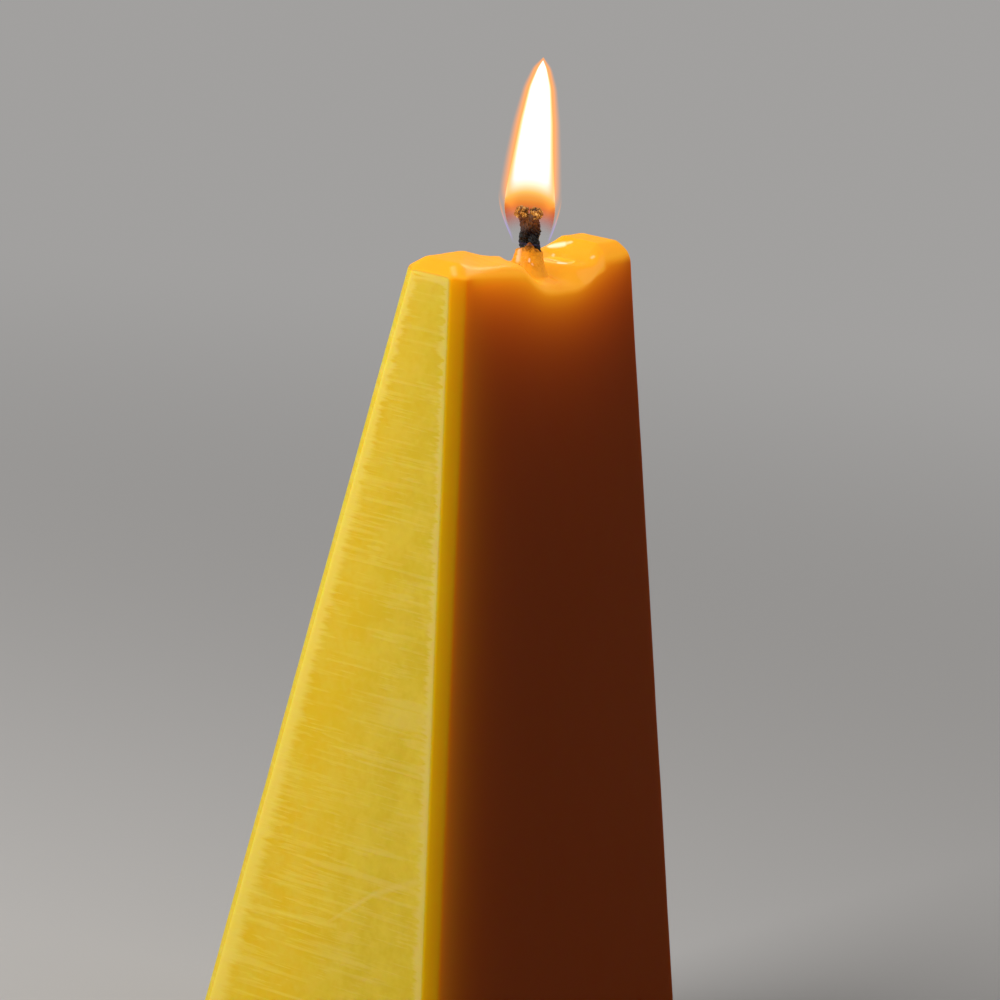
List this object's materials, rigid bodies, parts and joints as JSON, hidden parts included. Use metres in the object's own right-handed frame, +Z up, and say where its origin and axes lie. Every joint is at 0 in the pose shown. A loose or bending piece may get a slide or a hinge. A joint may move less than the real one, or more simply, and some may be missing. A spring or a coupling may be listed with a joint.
{
  "type": "beeswax candle",
  "caption": "Burning wedge-shaped beeswax candle with chamfered edges, a melted top with a small liquid pool, a plaited wick with carbon heads, and a flame.",
  "frame": {"origin": "middle of the base, on the surface the candle stands on", "axes": "+Z up along the candle, +X along the long side of the narrow top, +Y across it to the back"},
  "size_m": [0.0798, 0.0526, 0.1813],
  "materials": {
    "beeswax": "cast beeswax, satin, with pale bloom and rubbed edges",
    "liquid_wax": "clear liquid wax, wet and mirror smooth",
    "burnt_wick": "plaited cotton, charred black where it stands clear of the wax",
    "soaked_wax": "dark amber wax soaked round the wick, wet",
    "glowing_carbon": "knobbly carbon that glows gold",
    "flame": "candle flame, white core with an orange edge"
  },
  "bodies": {
    "root": {"wax_body": "beeswax", "melt_pool": "liquid_wax", "wick_strand_1": "burnt_wick", "wick_strand_2": "burnt_wick", "wick_strand_3": "burnt_wick", "wick_foot": "soaked_wax", "carbon_head_left": "glowing_carbon", "carbon_head_right": "glowing_carbon", "flame": "flame"}
  },
  "joints": []
}
